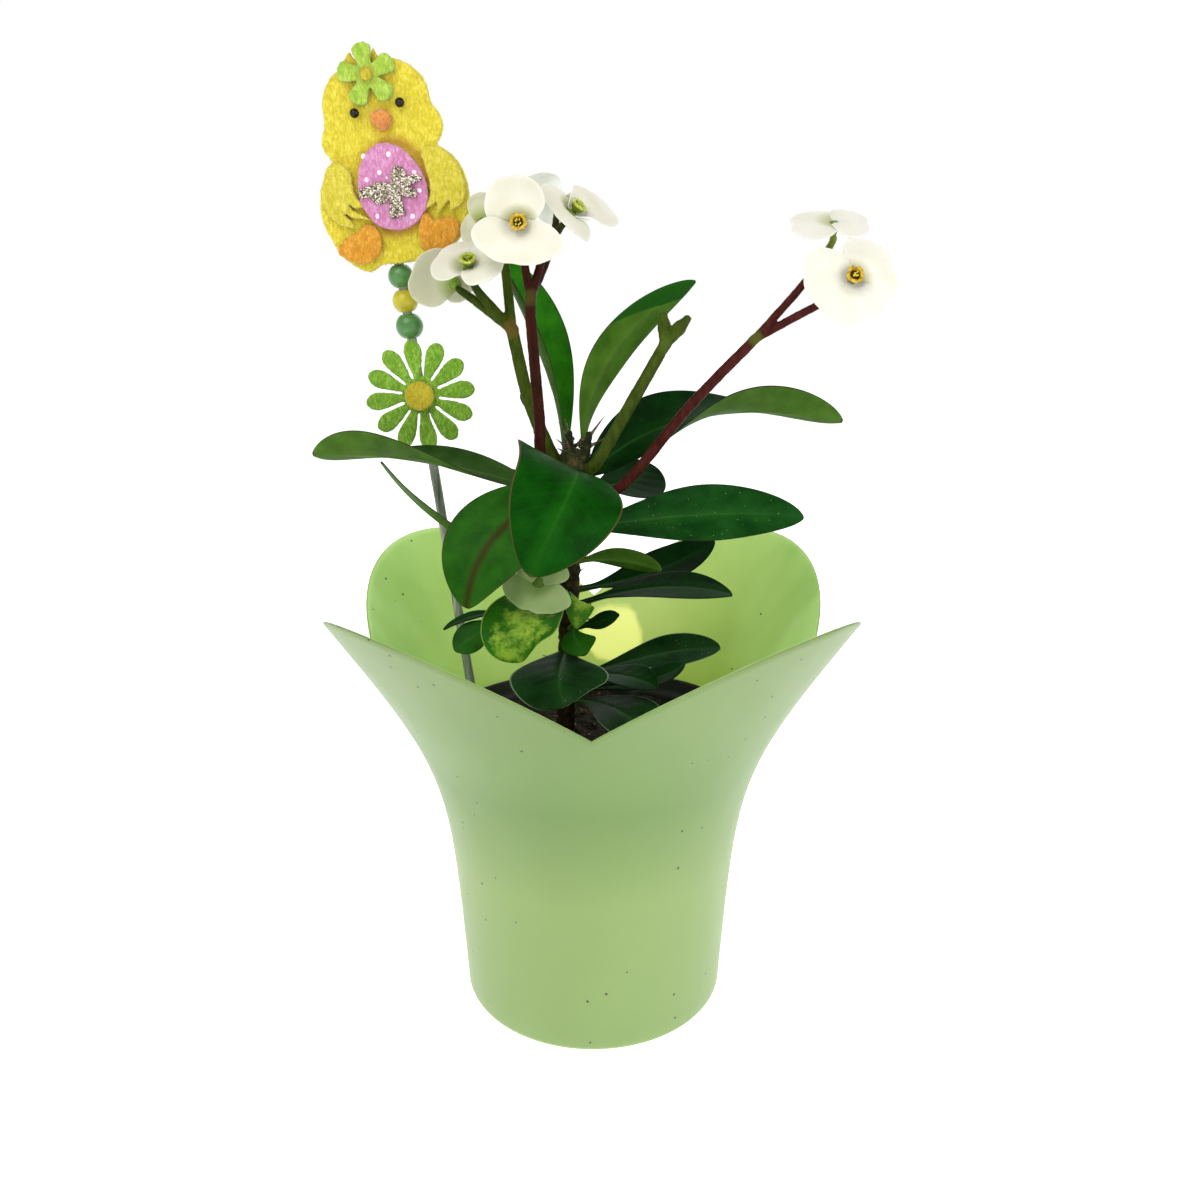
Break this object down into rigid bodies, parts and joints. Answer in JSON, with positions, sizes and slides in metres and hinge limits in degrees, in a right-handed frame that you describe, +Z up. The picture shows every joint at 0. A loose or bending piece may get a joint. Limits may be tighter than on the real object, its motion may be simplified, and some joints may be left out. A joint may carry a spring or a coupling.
{
  "type": "potted euphorbia",
  "caption": "Dwarf crown-of-thorns plant with white blooms in a pale green petal-edged cover pot, with a felt chick pick stuck in its soil.",
  "frame": {"origin": "middle of the cover pot's flat underside", "axes": "+Z up, front of the plant (the chick's face) towards -Y, +X to the right seen from the front"},
  "size_m": [0.1677, 0.153, 0.2958],
  "materials": {
    "cover_plastic": "satin, semi-translucent pale green polypropylene",
    "black_plastic": "matt black moulded plastic",
    "peat": "damp dark peat with brown fibres",
    "bark": "brown-green bark",
    "leaf": "glossy to satin dark green leaf",
    "bract": "soft satin ivory-white bract",
    "pale_bract": "soft satin pale green bract",
    "gland": "wet yellow-brown gland",
    "red_stalk": "satin red-brown stalk",
    "green_stalk": "satin olive-green stalk",
    "stick_wood": "plain weathered whitish wood",
    "green_bead": "glossy pearly green bead",
    "yellow_bead": "glossy pearly yellow bead",
    "green_felt": "matt leaf-green felt",
    "yellow_felt": "matt yellow felt",
    "orange_felt": "matt orange felt",
    "pink_felt": "matt pink-lilac felt",
    "glitter": "silver-champagne glitter sheet",
    "bead_black": "glossy dark faceted bead"
  },
  "bodies": {
    "root": {"cover": "cover_plastic", "nursery_pot": "black_plastic", "soil": "peat", "main_stem": "bark", "leaf_left_long": "leaf", "leaf_left_dark": "leaf", "leaf_left_edge_on": "leaf", "leaf_left_oval": "leaf", "leaf_front_big": "leaf", "leaf_right_glossy": "leaf", "leaf_right_twisted": "leaf", "leaf_upright_right": "leaf", "leaf_upright_back": "leaf", "leaf_right_back": "leaf", "leaf_small_olive": "leaf", "leaf_right_dark": "leaf", "leaf_right_slim": "leaf", "leaf_low_right": "leaf", "leaf_low_right_dark": "leaf", "leaf_low_middle": "leaf", "leaf_low_front": "leaf", "leaf_low_cupped": "leaf", "leaf_variegated": "leaf", "shoot_left": "leaf", "shoot_front": "leaf", "bloom_front_bracts": "bract", "bloom_left_bracts": "bract", "bloom_left_back_bracts": "bract", "bloom_top_right_bracts": "bract", "bloom_top_back_bracts": "bract", "bloom_right_top_bracts": "bract", "bloom_right_front_bracts": "bract", "bloom_behind_bracts": "bract", "bloom_low_bracts": "pale_bract", "bloom_front_glands": "gland", "bloom_left_glands": "gland", "bloom_top_right_glands": "gland", "bloom_right_front_glands": "gland", "stalk_front": "red_stalk", "stalk_right": "red_stalk", "stalk_left": "green_stalk", "stalk_buds": "green_stalk", "pick_stick": "stick_wood", "bead_lower": "green_bead", "bead_middle": "yellow_bead", "bead_upper": "green_bead", "daisy_petals": "green_felt", "daisy_centre": "yellow_felt", "chick_body": "yellow_felt", "chick_wing_left": "yellow_felt", "chick_wing_right": "yellow_felt", "chick_foot_left": "orange_felt", "chick_foot_right": "orange_felt", "chick_beak": "orange_felt", "egg": "pink_felt", "bow": "glitter", "head_flower": "green_felt", "head_flower_centre": "yellow_felt", "chick_eye_left": "bead_black", "chick_eye_right": "bead_black"}
  },
  "joints": []
}
